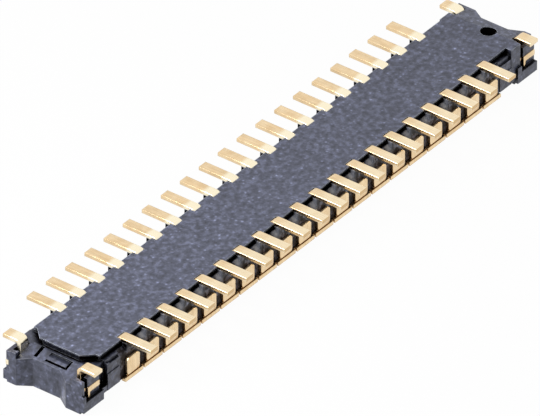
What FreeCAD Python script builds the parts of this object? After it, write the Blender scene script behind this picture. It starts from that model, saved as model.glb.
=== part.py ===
"""Plug of a two-row FPC-to-board connector, soldering side up.

Millimetres. +X runs along the contact rows, +Z points out of the soldering side, and the end
blocks rest on Z = 0. The origin is the middle of that rest plane. "Near" is the -Y side.
"""
import FreeCAD
import Part
import math
import os

# Contact rows
PITCH = 0.40
CONTACTS_PER_ROW = 20
STRIP = 0.055
TAIL_WIDTH = 0.148
TAIL_REACH = 0.475
TAIL_PROUD = 0.015
TAIL_BEND = 0.08
INNER_SPAN = 0.86
OUTER_SPAN = 1.34
CROWN_RISE = 0.066
CROWN_BEVEL = 0.03
LIP_WIDTH = 0.37
LIP_PROUD = 0.012
LIP_GROOVE = 0.014
LIP_GROOVE_DEPTH = 0.02
LEG_WIDTH = 0.257
LEG_NECK = 0.225
LEG_NECK_HEIGHT = 0.05
LEG_TOP = 0.386
LEG_CHAMFER = 0.03

# Housing in the row of contacts
BODY_HEIGHT = 0.61
PLATE_WIDTH = 1.05
PLATE_RIM = 0.022
PLATE_CORNER_STEP = 0.055
PLATE_CORNER_REACH = 0.205
RIM_GAP = 0.06
RIM_UNDERCUT = 0.035
SHOULDER_CHAMFER = 0.06
FLOOR_THICKNESS = 0.22
WALL_BOTTOM = 0.085
CONTACT_STAND_OUT = 0.01
ROOT_COVER = 0.02
ROOT_COVER_THICKNESS = 0.012

# Ends, measured outwards from the outside edge of the last tail
PILLAR_START = 0.16
BLOCK_START = 0.41
FOOT_START = 0.52
PLATE_OVERRUN = 0.60
PLATE_CORNER = 0.145
BLOCK_OVERRUN = 0.936
NAIL_OFFSET = 0.746

# End blocks
BLOCK_WIDTH = 1.24
BLOCK_FOOT_WIDTH = 1.298
BLOCK_FOOT_HEIGHT = 0.27
BLOCK_STEP_UP = 0.085
BAY_DEPTH = 0.12
BAY_FLOOR_WIDTH = 0.432
BAY_MOUTH_WIDTH = 0.80
BAY_SHIFT = -0.045
RIGHT_TOP_FALL = 0.06
LEFT_TOP_FALL = 0.10
LEFT_TOP_DROP = 0.11
FOOT_CHAMFER = 0.03
PILLAR_FACE = 0.625
PILLAR_UPPER_FACE = 0.585
PILLAR_SPLIT = 0.335
PILLAR_SPLIT_GAP = 0.025
PILLAR_SPLIT_FACE = 0.51
POLARITY_HOLE_DIAMETER = 0.225
POLARITY_HOLE_DEPTH = 0.15
POLARITY_HOLE_X = 0.586
POLARITY_HOLE_Y = -0.117
POCKET_LENGTH = 0.345
POCKET_WIDTH = 0.15
POCKET_DEPTH = 0.09
POCKET_Y = -0.0725
TILE_GROOVE = 0.035
TILE_SINK = 0.03
SLOT_WIDTH = 0.05
SLOT_Y = 0.255

# Fitting nails
NAIL_STRIP = 0.06
NAIL_WIDTH = 0.17
NAIL_TAIL = 0.215
NAIL_LEG_INSET = 0.075
NAIL_PLATE_BOTTOM = 0.258
NAIL_PLATE_HEIGHT = 0.084
NAIL_PLATE_LEFT = 0.054
NAIL_PLATE_RIGHT = 0.186
NAIL_PLATE_SINK = 0.003
NAIL_TONGUE_WIDTH = 0.045
NAIL_TONGUE_DROP = 0.085
NAIL_BAY_MARGIN_LEFT = 0.088
NAIL_BAY_MARGIN_RIGHT = 0.152
NAIL_BAY_DEPTH = 0.075
NAIL_PAD_RECESS = 0.02
NAIL_RELIEF_DIAMETER = 0.26
NAIL_RELIEF_FLOOR = 0.36
NAIL_RIM_WIDTH = 0.045
NAIL_RIM_DROP = 0.12

# Worked out from the sizes above
ROW_HALF = (CONTACTS_PER_ROW - 1) * PITCH / 2
TAIL_EDGE = ROW_HALF + TAIL_WIDTH / 2
TAIL_TOP = BODY_HEIGHT + TAIL_PROUD
TAIL_BOTTOM = TAIL_TOP - STRIP
TAIL_TIP = PLATE_WIDTH / 2 + TAIL_REACH
INNER_FACE = INNER_SPAN / 2
OUTER_FACE = OUTER_SPAN / 2
INNER_BACK = INNER_FACE + STRIP
WALL_FACE = OUTER_FACE - STRIP
CROWN_TOP = CROWN_RISE + STRIP
RIM_BOTTOM = BODY_HEIGHT - PLATE_RIM
SHOULDER_TOP = RIM_BOTTOM - RIM_GAP
TROUGH_FACE = INNER_FACE + CONTACT_STAND_OUT
TROUGH_CEILING = BODY_HEIGHT - FLOOR_THICKNESS
BLOCK_INNER = TAIL_EDGE + BLOCK_START
BLOCK_OUTER = TAIL_EDGE + BLOCK_OVERRUN
FOOT_INNER = TAIL_EDGE + FOOT_START
PLATE_END = TAIL_EDGE + PLATE_OVERRUN
PILLAR_INNER = TAIL_EDGE + PILLAR_START
NAIL_X = TAIL_EDGE + NAIL_OFFSET
NAIL_LEG_FACE = PLATE_WIDTH / 2 - NAIL_LEG_INSET
OVER = 0.2


def rounded_wire(corners, place):
    """Closed wire through corners (u, v, radius); place turns (u, v) into a point in space."""
    count = len(corners)
    starts, middles, ends = [], [], []
    for i, (u, v, radius) in enumerate(corners):
        here = FreeCAD.Vector(u, v, 0)
        before = FreeCAD.Vector(*corners[i - 1][:2], 0) - here
        after = FreeCAD.Vector(*corners[(i + 1) % count][:2], 0) - here
        before.normalize()
        after.normalize()
        half = before.getAngle(after) / 2
        reach = radius / math.tan(half)
        inward = before + after
        inward.normalize()
        starts.append(here + before * reach)
        ends.append(here + after * reach)
        middles.append(here + inward * (radius / math.sin(half) - radius))
    edges = []
    for i in range(count):
        if corners[i][2] > 0:
            points = [place(p.x, p.y) for p in (starts[i], middles[i], ends[i])]
            edges.append(Part.Arc(*points).toShape())
        follow = starts[(i + 1) % count]
        if (follow - ends[i]).Length > 1e-7:
            edges.append(Part.LineSegment(place(ends[i].x, ends[i].y), place(follow.x, follow.y)).toShape())
    return Part.Wire(edges)


def sharp(points):
    return [(u, v, 0) for u, v in points]


def prism_along_x(corners, x_from, x_to):
    """Side outline in (y, z) pulled along the row."""
    wire = rounded_wire(corners, lambda u, v: FreeCAD.Vector(x_from, u, v))
    return Part.Face(wire).extrude(FreeCAD.Vector(x_to - x_from, 0, 0))


def prism_along_y(corners, y_from, y_to):
    """Front outline in (x, z) pulled across the rows."""
    wire = rounded_wire(corners, lambda u, v: FreeCAD.Vector(u, y_from, v))
    return Part.Face(wire).extrude(FreeCAD.Vector(0, y_to - y_from, 0))


def prism_upwards(corners, z_from, z_to):
    """Plan outline in (x, y) pulled upwards."""
    wire = rounded_wire(corners, lambda u, v: FreeCAD.Vector(u, v, z_from))
    return Part.Face(wire).extrude(FreeCAD.Vector(0, 0, z_to - z_from))


def block(x_from, x_to, y_from, y_to, z_from, z_to):
    size = (x_to - x_from, y_to - y_from, z_to - z_from)
    return Part.makeBox(*size, FreeCAD.Vector(x_from, y_from, z_from))


def half_turn(shape):
    """The same shape turned to the other side of the connector."""
    turned = shape.copy()
    turned.rotate(FreeCAD.Vector(0, 0, 0), FreeCAD.Vector(0, 0, 1), 180)
    return turned


def moved(shape, x):
    shifted = shape.copy()
    shifted.translate(FreeCAD.Vector(x, 0, 0))
    return shifted


def one_solid(shape):
    clean = shape.removeSplitter()
    return clean.Solids[0] if len(clean.Solids) == 1 else clean


def contact():
    """One contact of the far (+Y) row, centred on X = 0."""
    strip = prism_along_x(
        [
            (TAIL_TIP, TAIL_BOTTOM, 0),
            (TAIL_TIP, TAIL_TOP, 0),
            (INNER_FACE, TAIL_TOP, TAIL_BEND),
            (INNER_FACE, CROWN_RISE + CROWN_BEVEL, 0),
            (INNER_FACE + CROWN_BEVEL, CROWN_RISE, 0),
            (WALL_FACE, CROWN_RISE, 0),
            (WALL_FACE, CROWN_TOP, 0),
            (INNER_BACK, CROWN_TOP, 0),
            (INNER_BACK, TAIL_BOTTOM, 0),
        ],
        -TAIL_WIDTH / 2, TAIL_WIDTH / 2)
    lip = prism_along_x(
        [
            (WALL_FACE, CROWN_RISE, 0),
            (OUTER_FACE + LIP_PROUD, CROWN_RISE, 0),
            (OUTER_FACE + LIP_PROUD, CROWN_TOP, 0),
            (WALL_FACE, CROWN_TOP, 0),
        ],
        -LIP_WIDTH / 2, LIP_WIDTH / 2)
    leg_bottom = CROWN_TOP + LIP_GROOVE
    neck = block(-LEG_NECK / 2, LEG_NECK / 2, WALL_FACE, OUTER_FACE - LIP_GROOVE_DEPTH, CROWN_TOP, leg_bottom)
    leg = prism_along_y(
        sharp([
            (-LEG_NECK / 2, leg_bottom),
            (LEG_NECK / 2, leg_bottom),
            (LEG_WIDTH / 2, CROWN_TOP + LEG_NECK_HEIGHT),
            (LEG_WIDTH / 2, LEG_TOP - LEG_CHAMFER),
            (LEG_WIDTH / 2 - LEG_CHAMFER, LEG_TOP),
            (LEG_CHAMFER - LEG_WIDTH / 2, LEG_TOP),
            (-LEG_WIDTH / 2, LEG_TOP - LEG_CHAMFER),
            (-LEG_WIDTH / 2, CROWN_TOP + LEG_NECK_HEIGHT),
        ]),
        WALL_FACE, OUTER_FACE)
    return one_solid(strip.fuse([lip, neck, leg]))


def fitting_nail():
    """One nail of the far (+Y) side, centred on X = 0 at its tail."""
    tail_bottom = TAIL_TOP - NAIL_STRIP
    leg_back = NAIL_LEG_FACE + NAIL_STRIP
    plate_back = BLOCK_WIDTH / 2 - NAIL_BAY_DEPTH + NAIL_PAD_RECESS
    plate_face = BLOCK_WIDTH / 2 - NAIL_PLATE_SINK
    plate_top = NAIL_PLATE_BOTTOM + NAIL_PLATE_HEIGHT
    stem = prism_along_x(
        [
            (PLATE_WIDTH / 2 + NAIL_TAIL, tail_bottom, 0),
            (PLATE_WIDTH / 2 + NAIL_TAIL, TAIL_TOP, 0),
            (NAIL_LEG_FACE, TAIL_TOP, TAIL_BEND),
            (NAIL_LEG_FACE, NAIL_PLATE_BOTTOM, 0),
            (plate_back, NAIL_PLATE_BOTTOM, 0),
            (plate_back, NAIL_PLATE_BOTTOM + NAIL_STRIP, 0),
            (leg_back, NAIL_PLATE_BOTTOM + NAIL_STRIP, 0),
            (leg_back, tail_bottom, TAIL_BEND - NAIL_STRIP),
        ],
        -NAIL_WIDTH / 2, NAIL_WIDTH / 2)
    tongue_bottom = NAIL_PLATE_BOTTOM - NAIL_TONGUE_DROP
    plate = prism_along_y(
        sharp([
            (NAIL_PLATE_LEFT, plate_top),
            (NAIL_PLATE_LEFT, tongue_bottom),
            (NAIL_PLATE_LEFT - NAIL_TONGUE_WIDTH, tongue_bottom),
            (NAIL_PLATE_LEFT - NAIL_TONGUE_WIDTH, NAIL_PLATE_BOTTOM),
            (-NAIL_PLATE_RIGHT, NAIL_PLATE_BOTTOM),
            (-NAIL_PLATE_RIGHT, plate_top),
        ]),
        plate_back, plate_face)
    return one_solid(stem.fuse(plate))


def contact_places():
    """X of each contact, in order along the row."""
    return [i * PITCH - ROW_HALF for i in range(CONTACTS_PER_ROW)]


def plate_outline(inset):
    """Plan of the plate: cut corners at the left end, running into the block at the right."""
    end = -PLATE_END + inset
    side = PLATE_WIDTH / 2 - inset
    corner = end + PLATE_CORNER
    step = side - PLATE_CORNER_STEP
    front = side - PLATE_CORNER_REACH
    right = BLOCK_INNER + OVER
    return sharp([
        (right, -side), (right, side), (corner, side), (corner, step),
        (end, front), (end, -front), (corner, -step), (corner, -side),
    ])


def plate():
    rim = prism_upwards(plate_outline(0), RIM_BOTTOM, BODY_HEIGHT)
    neck = prism_upwards(plate_outline(RIM_UNDERCUT), TROUGH_CEILING, RIM_BOTTOM)
    return rim.fuse(neck)


def walls():
    """Floor of the mating trough with the two contact walls, below the plate's rim."""
    half = [
        (TROUGH_FACE, TROUGH_CEILING, 0),
        (TROUGH_FACE, WALL_BOTTOM, 0),
        (WALL_FACE, WALL_BOTTOM, 0),
        (WALL_FACE, SHOULDER_TOP - SHOULDER_CHAMFER, 0),
        (WALL_FACE - SHOULDER_CHAMFER, SHOULDER_TOP, 0),
    ]
    other = [(-y, z, radius) for y, z, radius in reversed(half)]
    return prism_along_x(half + other, -BLOCK_INNER, BLOCK_INNER)


def tail_ribs(x):
    """Two ribs that carry the tails at one place along the rows."""
    low = SHOULDER_TOP - SHOULDER_CHAMFER
    rib = block(-TAIL_WIDTH / 2, TAIL_WIDTH / 2, INNER_BACK, WALL_FACE, low, TAIL_BOTTOM)
    return [moved(rib, x), moved(half_turn(rib), x)]


def root_notches(x):
    """Two notches in the plate's edge for the bends of the tails, each under a short cover."""
    half = TAIL_WIDTH / 2
    low = TAIL_TOP - TAIL_BEND
    cover_edge = INNER_FACE + ROOT_COVER
    notch = block(-half, half, cover_edge, PLATE_WIDTH, low, BODY_HEIGHT + OVER)
    hollow = block(-half, half, INNER_FACE, cover_edge, low, BODY_HEIGHT - ROOT_COVER_THICKNESS)
    notch = notch.fuse(hollow)
    return [moved(notch, x), moved(half_turn(notch), x)]


def pillars():
    """The wall between the last contact and the end block, on all four corners."""
    low = block(PILLAR_INNER, BLOCK_INNER, TROUGH_FACE, PILLAR_FACE, BLOCK_STEP_UP, PILLAR_SPLIT)
    high = block(PILLAR_INNER, BLOCK_INNER, TROUGH_FACE, PILLAR_UPPER_FACE,
                 PILLAR_SPLIT + PILLAR_SPLIT_GAP, SHOULDER_TOP)
    pieces = []
    for shape in (low, high):
        mirrored = shape.mirror(FreeCAD.Vector(0, 0, 0), FreeCAD.Vector(1, 0, 0))
        pieces += [shape, mirrored, half_turn(shape), half_turn(mirrored)]
    return pieces


def pillar_splits():
    """The line that parts each pillar's upper face from its lower one."""
    cut = block(PILLAR_INNER, BLOCK_INNER, PILLAR_SPLIT_FACE, PLATE_WIDTH,
                PILLAR_SPLIT, PILLAR_SPLIT + PILLAR_SPLIT_GAP)
    clear = block(PILLAR_INNER, BLOCK_INNER, PILLAR_UPPER_FACE, PLATE_WIDTH,
                  PILLAR_SPLIT, SHOULDER_TOP + OVER)
    pieces = []
    for shape in (cut, clear):
        mirrored = shape.mirror(FreeCAD.Vector(0, 0, 0), FreeCAD.Vector(1, 0, 0))
        pieces += [shape, mirrored, half_turn(shape), half_turn(mirrored)]
    return pieces


def block_outline(inner, width):
    """Plan of the right end block: two lobes with a splayed bay between them."""
    side = width / 2
    floor = BLOCK_OUTER - BAY_DEPTH
    return sharp([
        (inner, -side), (BLOCK_OUTER, -side), (BLOCK_OUTER, BAY_SHIFT - BAY_MOUTH_WIDTH / 2),
        (floor, BAY_SHIFT - BAY_FLOOR_WIDTH / 2), (floor, BAY_SHIFT + BAY_FLOOR_WIDTH / 2),
        (BLOCK_OUTER, BAY_SHIFT + BAY_MOUTH_WIDTH / 2), (BLOCK_OUTER, side), (inner, side),
    ])


def sloped_top(inner_top, outer_top):
    """Space above a right end block whose top falls towards the end."""
    return prism_along_y(
        sharp([
            (BLOCK_INNER - OVER, inner_top), (PLATE_END, inner_top),
            (BLOCK_OUTER, outer_top), (BLOCK_OUTER + OVER, outer_top),
            (BLOCK_OUTER + OVER, inner_top + OVER), (BLOCK_INNER - OVER, inner_top + OVER),
        ]),
        -PLATE_WIDTH, PLATE_WIDTH)


def end_block(inner_top, outer_top):
    """Right end block with its foot, its sloped top and the web that closes the trough."""
    upper = prism_upwards(block_outline(BLOCK_INNER, BLOCK_WIDTH), BLOCK_STEP_UP, BODY_HEIGHT)
    foot = prism_upwards(block_outline(FOOT_INNER, BLOCK_FOOT_WIDTH), FOOT_CHAMFER, BLOCK_FOOT_HEIGHT)
    sole = prism_upwards(block_outline(FOOT_INNER, BLOCK_WIDTH - 2 * FOOT_CHAMFER), 0, BLOCK_FOOT_HEIGHT)
    web_top = SHOULDER_TOP - SHOULDER_CHAMFER
    web = block(PILLAR_INNER, BLOCK_INNER, -WALL_FACE, WALL_FACE, BLOCK_STEP_UP, web_top)
    return upper.fuse([foot, sole]).cut(sloped_top(inner_top, outer_top)).fuse(web)


def nail_rims(low):
    """Raised rims of a right end block beside its two nails, from this height up."""
    high = BODY_HEIGHT - NAIL_RIM_DROP
    x_from = NAIL_X - NAIL_PLATE_RIGHT - NAIL_BAY_MARGIN_RIGHT - NAIL_RIM_WIDTH
    x_to = NAIL_X + NAIL_PLATE_LEFT + NAIL_BAY_MARGIN_LEFT + NAIL_RIM_WIDTH
    rim = block(x_from, min(x_to, BLOCK_OUTER), NAIL_LEG_FACE, BLOCK_WIDTH / 2, low, high)
    return [rim, rim.mirror(FreeCAD.Vector(0, 0, 0), FreeCAD.Vector(0, 1, 0))]


def nail_seat():
    """Space that a far (+Y) nail needs in its block, centred on X = 0 at its tail."""
    bay_left = -NAIL_PLATE_RIGHT - NAIL_BAY_MARGIN_RIGHT
    bay_right = NAIL_PLATE_LEFT + NAIL_BAY_MARGIN_LEFT
    bay_back = BLOCK_WIDTH / 2 - NAIL_BAY_DEPTH
    bay_floor = NAIL_PLATE_BOTTOM - NAIL_TONGUE_DROP
    bay = block(bay_left, bay_right, bay_back, PLATE_WIDTH, bay_floor, BODY_HEIGHT + OVER)
    hole = Part.makeCylinder(NAIL_RELIEF_DIAMETER / 2, BODY_HEIGHT,
                             FreeCAD.Vector(0, PLATE_WIDTH / 2, NAIL_RELIEF_FLOOR))
    behind_leg = block(bay_left, bay_right, 0, NAIL_LEG_FACE, bay_floor, BODY_HEIGHT * 2)
    return bay.fuse(hole.cut(behind_leg))


def nail_pad():
    """Islands of a far (+Y) nail's bay, above and below the nail's plate."""
    bay_back = BLOCK_WIDTH / 2 - NAIL_BAY_DEPTH
    face = BLOCK_WIDTH / 2 - NAIL_PAD_RECESS
    plate_top = NAIL_PLATE_BOTTOM + NAIL_PLATE_HEIGHT
    high = block(-NAIL_PLATE_RIGHT, NAIL_PLATE_LEFT, bay_back, face, plate_top,
                 BODY_HEIGHT - LEFT_TOP_DROP - NAIL_PAD_RECESS)
    low = block(-NAIL_PLATE_RIGHT, NAIL_PLATE_LEFT, bay_back, face,
                NAIL_PLATE_BOTTOM - NAIL_TONGUE_DROP, NAIL_PLATE_BOTTOM)
    back = block(-NAIL_PLATE_RIGHT, NAIL_PLATE_LEFT, bay_back, bay_back + NAIL_PAD_RECESS,
                 NAIL_PLATE_BOTTOM - NAIL_TONGUE_DROP, plate_top)
    return high.fuse([low, back])


def polarity_hole():
    """Blind hole that marks the right end."""
    place = FreeCAD.Vector(TAIL_EDGE + POLARITY_HOLE_X, POLARITY_HOLE_Y, BODY_HEIGHT - POLARITY_HOLE_DEPTH)
    return Part.makeCylinder(POLARITY_HOLE_DIAMETER / 2, POLARITY_HOLE_DEPTH + OVER, place)


def left_marks():
    """Pocket round a sunk tile, and a slot, in the top of the left block."""
    top = BODY_HEIGHT - LEFT_TOP_DROP
    floor = top - POCKET_DEPTH
    outer = -(BLOCK_OUTER - BAY_DEPTH) + TILE_GROOVE
    near = POCKET_Y - POCKET_LENGTH / 2
    far = POCKET_Y + POCKET_LENGTH / 2
    pocket = block(outer, outer + POCKET_WIDTH, near, far, floor, top + OVER)
    tile = block(outer + TILE_GROOVE, outer + POCKET_WIDTH, near + TILE_GROOVE, far, floor, top - TILE_SINK)
    slot = block(outer, outer + POCKET_WIDTH + TILE_GROOVE, SLOT_Y - SLOT_WIDTH / 2,
                 SLOT_Y + SLOT_WIDTH / 2, floor, top + OVER)
    return [pocket.cut(tile), slot]


def end_places(shape):
    """A shape made for a far nail, put at all four corners: (node ending, shape)."""
    return [
        ("far_right", moved(shape, NAIL_X)),
        ("far_left", moved(shape, -NAIL_X)),
        ("near_right", moved(half_turn(shape), NAIL_X)),
        ("near_left", moved(half_turn(shape), -NAIL_X)),
    ]


def housing(contacts, nails):
    """The moulding, with a seat for every contact and nail cut from that piece itself."""
    left_top = BODY_HEIGHT - LEFT_TOP_DROP
    left_outer_top = left_top - LEFT_TOP_FALL
    right_end = end_block(BODY_HEIGHT, BODY_HEIGHT - RIGHT_TOP_FALL)
    left_end = half_turn(end_block(left_top, left_outer_top).fuse(nail_rims(left_outer_top)))
    ribs, notches = [], []
    for x in contact_places():
        ribs += tail_ribs(x)
        notches += root_notches(x)
    body = walls().fuse([plate()] + pillars()).cut(pillar_splits())
    body = body.fuse([right_end, left_end])
    body = body.cut([shape for _, shape in end_places(nail_seat())])
    body = body.fuse([shape for _, shape in end_places(nail_pad())])
    body = body.cut(notches).fuse(ribs)
    body = body.cut([polarity_hole()] + left_marks())
    body = body.cut(list(contacts.values()) + list(nails.values()))
    return one_solid(body)


def export(name, shape):
    shape.exportStep(os.path.join("parts", name + ".step"))
    box = shape.BoundBox
    print(f"{name}: {len(shape.Solids)} solid, valid {shape.isValid()}, "
          f"{box.XLength:.3f} x {box.YLength:.3f} x {box.ZLength:.3f} mm")


def main():
    os.makedirs("parts", exist_ok=True)
    far = contact()
    near = half_turn(far)
    contacts = {}
    for number, x in enumerate(contact_places(), start=1):
        contacts[f"contact_far_{number:02d}"] = moved(far, x)
        contacts[f"contact_near_{number:02d}"] = moved(near, x)
    nails = {"fitting_nail_" + ending: shape for ending, shape in end_places(fitting_nail())}
    export("housing", housing(contacts, nails))
    for name, shape in {**contacts, **nails}.items():
        export(name, shape)


main()
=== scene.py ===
"""Looks of the two-row board connector plug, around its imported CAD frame. Metres."""
import math

import bmesh
import bpy
from mathutils import Matrix, Vector


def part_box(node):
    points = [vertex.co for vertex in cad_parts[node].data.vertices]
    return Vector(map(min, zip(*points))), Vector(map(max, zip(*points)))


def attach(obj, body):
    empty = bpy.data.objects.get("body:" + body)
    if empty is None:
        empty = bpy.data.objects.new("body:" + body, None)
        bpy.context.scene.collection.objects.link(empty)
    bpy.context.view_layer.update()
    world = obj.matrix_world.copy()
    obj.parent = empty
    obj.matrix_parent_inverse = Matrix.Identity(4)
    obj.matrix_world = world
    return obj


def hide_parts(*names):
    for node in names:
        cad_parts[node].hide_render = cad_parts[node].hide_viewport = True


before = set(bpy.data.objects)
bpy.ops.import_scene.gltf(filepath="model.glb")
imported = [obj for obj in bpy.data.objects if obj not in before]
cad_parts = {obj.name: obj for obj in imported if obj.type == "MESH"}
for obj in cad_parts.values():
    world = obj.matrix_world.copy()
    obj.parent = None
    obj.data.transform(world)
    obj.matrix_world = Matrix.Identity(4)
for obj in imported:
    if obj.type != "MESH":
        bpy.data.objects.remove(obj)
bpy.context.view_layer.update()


def grey(level):
    return (level, level, level)


MM = 0.001
WHITE = (1, 1, 1, 1)

# Places on the part
PLATE_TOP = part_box("housing")[1].z
PLATE_SIDE = 0.53 * MM
WALL_START = PLATE_SIDE + 0.03 * MM
TAIL_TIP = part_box("contact_far_01")[1].y
CUT_END = TAIL_TIP - 0.004 * MM
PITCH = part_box("contact_near_20")[1].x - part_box("contact_near_19")[1].x
ROW_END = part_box("contact_near_20")[1].x + 0.03 * MM

# Camera, at the photograph's viewing angle
IMAGE_WIDTH = 540
IMAGE_HEIGHT = 416
CAMERA_AZIMUTH = math.radians(-52.7)
CAMERA_ELEVATION = math.radians(35.2)
CAMERA_DISTANCE = 238 * MM
CAMERA_CLIP = (0.01, 10)
PIXELS_PER_MM = 77.79
ORIGIN_PIXEL = (273.3, 223.8)
SENSOR = 36.0

# Surroundings: the world's level as light, and the floor, part matte and part glow
WORLD_LEVEL = 0.05
FLOOR_SIZE = 2.0
FLOOR_GAP = 0.002 * MM
FLOOR_BOUNCE = (0.45, 0.45, 0.45, 1)
FLOOR_GLOW = 0.94
FLOOR_WHITE = 1.03

# Lamps: name, power, size, place, and whether mirror reflections show it
LAMPS = [
    ("back_left", 0.0095, 19 * MM, (-38 * MM, 40 * MM, 25 * MM), False),
    ("front_right", 0.020, 40 * MM, (45 * MM, -50 * MM, 25 * MM), False),
    ("overhead", 0.0044, 12 * MM, (-12 * MM, 6 * MM, 17 * MM), True),
]

# Plastic: colour ramps as (position, colour) stops
SLATE = [(0.3, (0.068, 0.075, 0.118)), (0.7, (0.096, 0.105, 0.160))]
MOTTLE = [(0.30, grey(0.40)), (0.52, grey(0.95)), (0.74, grey(2.10))]
SPECKLE = [(0.0, grey(2.90)), (0.26, grey(1.0)), (1.0, grey(0.92))]
# SLOT_SHADE is painted shade in the slots, its dark end tinted brown as a painted reflection
# of the gold
SLOT_SHADE = [(0.55, (0.030, 0.020, 0.012)), (0.98, grey(1.0))]
# ROW_SHADE is painted shade on the wall between the contacts, tinted brown as a painted
# reflection of the gold
ROW_SHADE = [(0.0, grey(1.0)), (1.0, (0.26, 0.21, 0.17))]
# Colour of the painted highlight on the near row's tiles
PAINTED_TILE_HIGHLIGHT = (0.33, 0.345, 0.39, 1)
# Pale edge colour: partly rubbed plastic, partly a painted highlight on the rims
RUBBED_AND_HIGHLIT_EDGE = (0.40, 0.43, 0.50, 1)

# Plastic: sizes of its marks
CLOUD_SIZE = 0.32 * MM
GRAIN_SIZE = 0.075 * MM
FINE_SIZE = 0.018 * MM
SPECK_SIZE = 0.085 * MM
# How far the painted slot shade reaches
SLOT_REACH = 0.26 * MM
# Width of the pale edges, rubbed and painted highlight
WORN_AND_HIGHLIT_RADIUS = 0.015 * MM
MOULDED_RADIUS = 0.010 * MM
GRAIN_RELIEF = 0.004 * MM
GRAIN_STRENGTH = 0.6

# Plastic: ranges of the grain or the painted shade, and what each end of them gives
# Grain range and shares of the painted row shade
ROW_GRAIN = (0.50, 0.62)
ROW_SHARES = (1.0, 0.35)
ROUGH_GRAIN = (0.3, 0.7)
PLASTIC_ROUGHNESS = (0.40, 0.26)
GLOSS_SHADE = (0.10, 0.55)
PLASTIC_GLOSS = (0.0, 0.5)

# Plastic: where the edges are rubbed and given a painted highlight, in height, and by how much
# from bottom to top
RUBBED_AND_HIGHLIT_HEIGHTS = (PLATE_TOP - 0.06 * MM, PLATE_TOP - 0.01 * MM)
RUBBED_AND_HIGHLIT_SHARES = (0.35, 1.7)

# Plastic: painted highlight spots on the near row's tiles, and the distances over which they
# fade out
SPOT_X = 0.085 * MM
SPOT_Y = -0.578 * MM
SPOT_FADE_X = (0.075 * MM, 0.015 * MM)
SPOT_FADE_Y = (0.045 * MM, 0.015 * MM)
SPOT_SHARE = 0.9
SPOT_ROW_END = ROW_END - PITCH / 2

# Metal: colours
GOLD = [(0.3, (0.83, 0.60, 0.34)), (0.7, (0.94, 0.74, 0.47))]
ROLLING = [(0.3, grey(0.82)), (0.7, grey(1.03))]
# GAP_SHADE is painted shade in the gaps between the metal pieces, tinted brown
GAP_SHADE = [(0.15, (0.34, 0.24, 0.15)), (0.75, grey(1.0))]
# Colour of the painted highlight on the metal
PAINTED_HIGHLIGHT_GOLD = (1.0, 0.92, 0.70, 1)
CUT_METAL = (0.66, 0.46, 0.24, 1)

# Metal: sizes of its marks, and how they are drawn out across the strip
STREAK_SIZE = 0.014 * MM
STREAK_STRETCH = (1.0, 0.03, 0.03)
STREAK_RELIEF = 0.0006 * MM
STREAK_STRENGTH = 0.12
PATCH_SIZE = 0.11 * MM
# How far the painted gap shade reaches
GAP_REACH = 0.20 * MM
BENT_RADIUS = 0.014 * MM
METAL_ROUGHNESS = (0.20, 0.32)

# Metal: the painted highlight, on the far tails' bends and on the near contacts' upper parts
BEND_START = PLATE_SIDE - 0.09 * MM
BEND_END = PLATE_SIDE + 0.12 * MM
BEND_FADE = (BEND_END, BEND_END - 0.055 * MM)
BEND_SHARE = 0.85
NEAR_TAILS = (-PLATE_SIDE, -0.75 * MM)
UPPER_PARTS = (0.36 * MM, 0.44 * MM)
UPPER_SHARE = 0.42

# Shader detail
UNIT = (0.0, 1.0)
NOISE_ROUGHNESS = 0.55
EDGE_COSINES = (0.995, 0.90)
OPENNESS_SAMPLES = 12
MOULDED_SAMPLES = 6
BENT_SAMPLES = 8

# Rounding of the stamped metal's edges
METAL_EDGE = 0.012 * MM
EDGE_SEGMENTS = 3
ROUND_PROFILE = 0.5
SHARP_TURN = math.radians(32)
FLAT_TURN = math.radians(1)
WELD = 0.0002 * MM


def view_axes():
    """Camera's back, right and up directions in the frame."""
    sin_a, cos_a = math.sin(CAMERA_AZIMUTH), math.cos(CAMERA_AZIMUTH)
    sin_e, cos_e = math.sin(CAMERA_ELEVATION), math.cos(CAMERA_ELEVATION)
    back = Vector((sin_a * cos_e, -cos_a * cos_e, sin_e))
    right = Vector((cos_a, sin_a, 0))
    up = Vector((-sin_a * sin_e, cos_a * sin_e, cos_e))
    return back, right, up


def make_camera():
    back, right, up = view_axes()
    shift_right = (IMAGE_WIDTH / 2 - ORIGIN_PIXEL[0]) / PIXELS_PER_MM * MM
    shift_up = (ORIGIN_PIXEL[1] - IMAGE_HEIGHT / 2) / PIXELS_PER_MM * MM
    target = right * shift_right + up * shift_up
    data = bpy.data.cameras.new("camera")
    camera = bpy.data.objects.new("camera", data)
    bpy.context.scene.collection.objects.link(camera)
    camera.matrix_world = Matrix.Translation(target + back * CAMERA_DISTANCE) @ Matrix(
        (right, up, back)).transposed().to_4x4()
    data.sensor_width = SENSOR
    data.lens = SENSOR * CAMERA_DISTANCE / (IMAGE_WIDTH / PIXELS_PER_MM * MM)
    data.clip_start, data.clip_end = CAMERA_CLIP
    bpy.context.scene.camera = camera


def feed(tree, node, inputs):
    """Links each of the node's inputs to its socket, or sets it to its value."""
    for key, value in inputs.items():
        if isinstance(value, bpy.types.NodeSocket):
            tree.links.new(value, node.inputs[key])
        else:
            node.inputs[key].default_value = value


def node_adder(tree):
    """Function that adds one node of a kind to the tree, with its inputs and settings."""
    def add(kind, inputs=None, **settings):
        node = tree.nodes.new(kind)
        for key, value in settings.items():
            setattr(node, key, value)
        feed(tree, node, inputs or {})
        return node

    return add


def new_material(name):
    """Material, its node tree, its Principled shader and the function that adds nodes."""
    material = bpy.data.materials.new(name)
    material.use_nodes = True
    tree = material.node_tree
    return material, tree, tree.nodes["Principled BSDF"], node_adder(tree)


def compute(add, operation, *values, **settings):
    """Result of a Math node on these values."""
    node = add("ShaderNodeMath", dict(enumerate(values)), operation=operation, **settings)
    return node.outputs["Value"]


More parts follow.
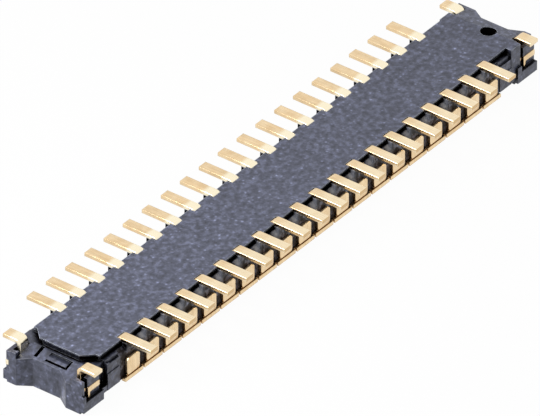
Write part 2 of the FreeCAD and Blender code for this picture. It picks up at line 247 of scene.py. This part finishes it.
def remap(add, value, ends, low=0.0, high=1.0):
    """Value taken from low at the first end to high at the second, and no further."""
    node = add("ShaderNodeMapRange", {"Value": value, "From Min": ends[0], "From Max": ends[1],
                                      "To Min": low, "To Max": high})
    return node.outputs["Result"]


def split(add, place):
    """The X, Y and Z of a place."""
    return add("ShaderNodeSeparateXYZ", {"Vector": place}).outputs


def noise(add, place, size, detail=3.0):
    """Noise whose lumps are about this size in metres."""
    return add("ShaderNodeTexNoise", {"Vector": place, "Scale": 1 / size, "Detail": detail,
                                      "Roughness": NOISE_ROUGHNESS}).outputs["Fac"]


def ramp(add, value, stops):
    """Colour ramp through (position, (r, g, b)) stops."""
    node = add("ShaderNodeValToRGB", {"Fac": value})
    elements = node.color_ramp.elements
    while len(elements) < len(stops):
        elements.new(0.5)
    for element, (position, colour) in zip(elements, stops):
        element.position = position
        element.color = (*colour, 1)
    return node.outputs["Color"]


def multiply_all(add, colours):
    """Colours multiplied together."""
    result = colours[0]
    for colour in colours[1:]:
        result = add("ShaderNodeMix", {0: 1.0, 6: result, 7: colour}, data_type="RGBA",
                     blend_type="MULTIPLY").outputs[2]
    return result


def mix_colour(add, share, first, second):
    """First colour where share is 0, second where it is 1."""
    return add("ShaderNodeMix", {0: share, 6: first, 7: second}, data_type="RGBA").outputs[2]


def rounded_normal(add, radius, samples):
    """Surface direction as if the edges had this radius."""
    return add("ShaderNodeBevel", {"Radius": radius}, samples=samples).outputs["Normal"]


def edge_mask(add, radius):
    """1 on edges within this radius, 0 on flats."""
    flat = add("ShaderNodeNewGeometry").outputs["Normal"]
    rounded = rounded_normal(add, radius, MOULDED_SAMPLES)
    cosine = add("ShaderNodeVectorMath", {0: rounded, 1: flat}, operation="DOT_PRODUCT")
    return remap(add, cosine.outputs["Value"], EDGE_COSINES)


def painted_crevice_shade(add, reach, shades, alone=False):
    """Painted shade: colour that falls from white in the open to dark in slots no wider than
    reach.
    """
    openness = add("ShaderNodeAmbientOcclusion", {"Distance": reach},
                   samples=OPENNESS_SAMPLES, only_local=alone).outputs["AO"]
    return ramp(add, openness, shades)


def painted_row_shade(add, place, grain):
    """Painted shade: grey that drops where the wall stands between the contacts, out of the
    light's reach.
    """
    axes = split(add, place)
    within = compute(add, "LESS_THAN", compute(add, "ABSOLUTE", axes["X"]), ROW_END)
    across = compute(add, "ABSOLUTE", axes["Y"])
    both = compute(add, "MULTIPLY", within, remap(add, across, (PLATE_SIDE, WALL_START)))
    smooth = remap(add, grain, ROW_GRAIN, *ROW_SHARES)
    return ramp(add, compute(add, "MULTIPLY", both, smooth), ROW_SHADE)


def painted_tile_highlight(add, place):
    """Share of painted highlight on the near row's domed tiles, midway between the contacts.
    """
    axes = split(add, place)
    within = compute(add, "LESS_THAN", compute(add, "ABSOLUTE", axes["X"]), SPOT_ROW_END)
    shifted = compute(add, "SUBTRACT", axes["X"], SPOT_X)
    middle = remap(add, compute(add, "PINGPONG", shifted, PITCH / 2), SPOT_FADE_X)
    away = compute(add, "ABSOLUTE", compute(add, "SUBTRACT", axes["Y"], SPOT_Y))
    strip = remap(add, away, SPOT_FADE_Y, high=SPOT_SHARE)
    return compute(add, "MULTIPLY", compute(add, "MULTIPLY", middle, strip), within)


def housing_material():
    """Matte glass-filled plastic: slate grey, mottled, with pale edges that are partly scuffed
    and partly painted highlight, painted shade in the slots and between the contacts, and
    painted highlights on the near row's tiles.
    """
    material, tree, shader, add = new_material("housing_plastic")
    place = add("ShaderNodeTexCoord").outputs["Object"]
    clouds = noise(add, place, CLOUD_SIZE, 4)
    grain = noise(add, place, GRAIN_SIZE)
    fine = noise(add, place, FINE_SIZE)
    specks = add("ShaderNodeTexVoronoi", {"Vector": place, "Scale": 1 / SPECK_SIZE})
    painted_glint = painted_tile_highlight(add, place)
    # Painted shade: slots and the wall between the contacts
    painted_shade = multiply_all(add, [
        # Painted shade in the housing's slots
        painted_crevice_shade(add, SLOT_REACH, SLOT_SHADE, alone=True),
        # Painted shade on the wall between the contacts
        painted_row_shade(add, place, grain),
    ])
    # The painted tile highlight lifts the painted shade
    painted_shade = mix_colour(add, painted_glint, painted_shade, WHITE)
    colour = multiply_all(add, [
        ramp(add, clouds, SLATE),
        ramp(add, grain, MOTTLE),
        ramp(add, specks.outputs["Distance"], SPECKLE),
        painted_shade,
    ])
    # Painted highlight on the near row's tiles
    colour = mix_colour(add, painted_glint, colour, PAINTED_TILE_HIGHLIGHT)
    # Pale edges, partly rubbing and partly painted highlight, strongest near the plate's top
    rubbed_and_highlit = remap(add, split(add, place)["Z"], RUBBED_AND_HIGHLIT_HEIGHTS, *RUBBED_AND_HIGHLIT_SHARES)
    worn_and_highlit = compute(add, "MULTIPLY", edge_mask(add, WORN_AND_HIGHLIT_RADIUS), rubbed_and_highlit)
    worn_and_highlit = compute(add, "MULTIPLY", worn_and_highlit, grain, use_clamp=True)
    rounded = rounded_normal(add, MOULDED_RADIUS, MOULDED_SAMPLES)
    bump = add("ShaderNodeBump", {"Strength": GRAIN_STRENGTH, "Distance": GRAIN_RELIEF,
                                  "Height": compute(add, "ADD", grain, fine),
                                  "Normal": rounded})
    feed(tree, shader, {
        "Base Color": mix_colour(add, worn_and_highlit, colour, RUBBED_AND_HIGHLIT_EDGE),
        "Roughness": remap(add, grain, ROUGH_GRAIN, *PLASTIC_ROUGHNESS),
        # The painted shade also dims the gloss
        "Specular IOR Level": remap(add, painted_shade, GLOSS_SHADE, *PLASTIC_GLOSS),
        "Normal": bump.outputs["Normal"],
    })
    return material


def painted_highlight_share(add, axes):
    """Share of the painted highlight: most on the far tails' bends, some on the near upper
    parts.
    """
    far = compute(add, "GREATER_THAN", axes["Y"], BEND_START)
    bend = remap(add, axes["Y"], BEND_FADE, high=BEND_SHARE)
    near = remap(add, axes["Y"], NEAR_TAILS)
    upper = remap(add, axes["Z"], UPPER_PARTS, high=UPPER_SHARE)
    return compute(add, "MAXIMUM", compute(add, "MULTIPLY", far, bend),
                   compute(add, "MULTIPLY", near, upper))


def gold_material():
    """Thin gold over nickel: pale, satin, with rolling marks, bare sheared tail ends, painted
    shade in the gaps and a painted highlight on the far tails' bends and near upper parts.
    """
    material, tree, shader, add = new_material("contact_gold")
    place = add("ShaderNodeTexCoord").outputs["Object"]
    axes = split(add, place)
    drawn_out = add("ShaderNodeMapping", {"Vector": place, "Scale": STREAK_STRETCH})
    streaks = noise(add, drawn_out.outputs["Vector"], STREAK_SIZE)
    patches = noise(add, place, PATCH_SIZE)
    plated_and_shaded = multiply_all(add, [
        ramp(add, patches, GOLD),
        ramp(add, streaks, ROLLING),
        # Painted shade in the gaps between the metal pieces
        painted_crevice_shade(add, GAP_REACH, GAP_SHADE),
    ])
    # Painted highlight on the far tails' bends and the near upper parts
    highlighted = mix_colour(add, painted_highlight_share(add, axes), plated_and_shaded, PAINTED_HIGHLIGHT_GOLD)
    cut = compute(add, "GREATER_THAN", compute(add, "ABSOLUTE", axes["Y"]), CUT_END)
    rounded = rounded_normal(add, BENT_RADIUS, BENT_SAMPLES)
    bump = add("ShaderNodeBump", {"Strength": STREAK_STRENGTH, "Distance": STREAK_RELIEF,
                                  "Height": streaks, "Normal": rounded})
    feed(tree, shader, {
        "Base Color": mix_colour(add, cut, highlighted, CUT_METAL),
        "Metallic": 1.0,
        "Roughness": remap(add, patches, UNIT, *METAL_ROUGHNESS),
        "Normal": bump.outputs["Normal"],
    })
    return material


def seen_rays(add):
    """1 for camera, glossy and transmission rays, 0 for the rest."""
    rays = add("ShaderNodeLightPath").outputs
    seen = compute(add, "MAXIMUM", rays["Is Camera Ray"], rays["Is Glossy Ray"])
    return compute(add, "MAXIMUM", seen, rays["Is Transmission Ray"])


def stage_material():
    """Pale floor that shows as white, keeps a soft shadow and is clear from below."""
    material = bpy.data.materials.new("floor_white")
    material.use_nodes = True
    material.node_tree.nodes.clear()
    add = node_adder(material.node_tree)
    matte = add("ShaderNodeBsdfDiffuse", {"Color": FLOOR_BOUNCE})
    glow = add("ShaderNodeEmission", {"Color": WHITE, "Strength": FLOOR_WHITE})
    clear = add("ShaderNodeBsdfTransparent")
    share = compute(add, "MULTIPLY", seen_rays(add), FLOOR_GLOW)
    above = add("ShaderNodeMixShader", {0: share, 1: matte.outputs[0], 2: glow.outputs[0]})
    from_below = add("ShaderNodeNewGeometry").outputs["Backfacing"]
    surface = add("ShaderNodeMixShader", {0: from_below, 1: above.outputs[0],
                                          2: clear.outputs[0]})
    add("ShaderNodeOutputMaterial", {"Surface": surface.outputs[0]})
    return material


def make_floor():
    bpy.ops.mesh.primitive_plane_add(size=FLOOR_SIZE, location=(0, 0, -FLOOR_GAP))
    floor = bpy.context.object
    floor.name = "floor"
    floor.data.materials.append(stage_material())


def make_world():
    """Soft white surroundings: full white to the camera, dimmer as light."""
    world = bpy.data.worlds.new("studio")
    bpy.context.scene.world = world
    world.use_nodes = True
    tree = world.node_tree
    add = node_adder(tree)
    feed(tree, tree.nodes["Background"], {
        "Color": WHITE,
        "Strength": remap(add, seen_rays(add), UNIT, WORLD_LEVEL, 1.0),
    })


def make_lamp(name, power, size, place, mirrored):
    """Square lamp that faces the part and stays out of the camera's view."""
    data = bpy.data.lights.new(name, "AREA")
    data.energy = power
    data.size = size
    lamp = bpy.data.objects.new(name, data)
    bpy.context.scene.collection.objects.link(lamp)
    lamp.location = place
    lamp.visible_camera = False
    lamp.visible_glossy = mirrored
    lamp.rotation_euler = Vector(place).to_track_quat("Z", "Y").to_euler()


def dress(name, material):
    """Puts this material on a node that is drawn as the CAD made it."""
    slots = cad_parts[name].data.materials
    slots.clear()
    slots.append(material)


def round_off(name, material):
    """Stamped metal piece in its CAD node's form, with its sheared edges rounded."""
    form = bmesh.new()
    form.from_mesh(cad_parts[name].data)
    bmesh.ops.remove_doubles(form, verts=form.verts, dist=WELD)
    bmesh.ops.dissolve_limit(form, angle_limit=FLAT_TURN, verts=form.verts, edges=form.edges)
    sharp = [edge for edge in form.edges
             if edge.is_manifold and edge.calc_face_angle() > SHARP_TURN]
    bmesh.ops.bevel(form, geom=sharp, offset=METAL_EDGE, offset_type="OFFSET",
                    segments=EDGE_SEGMENTS, profile=ROUND_PROFILE, affect="EDGES",
                    clamp_overlap=True, harden_normals=False)
    for face in form.faces:
        face.smooth = True
    mesh = bpy.data.meshes.new(name + "_rounded")
    form.to_mesh(mesh)
    form.free()
    mesh.materials.append(material)
    piece = bpy.data.objects.new(name + "_rounded", mesh)
    bpy.context.scene.collection.objects.link(piece)
    piece.modifiers.new("normals", "WEIGHTED_NORMAL").keep_sharp = False
    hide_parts(name)
    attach(piece, "root")


bpy.context.scene.view_settings.view_transform = "Standard"
make_camera()
make_world()
make_floor()
for lamp in LAMPS:
    make_lamp(*lamp)
dress("housing", housing_material())
gold = gold_material()
for node in [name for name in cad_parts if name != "housing"]:
    round_off(node, gold)
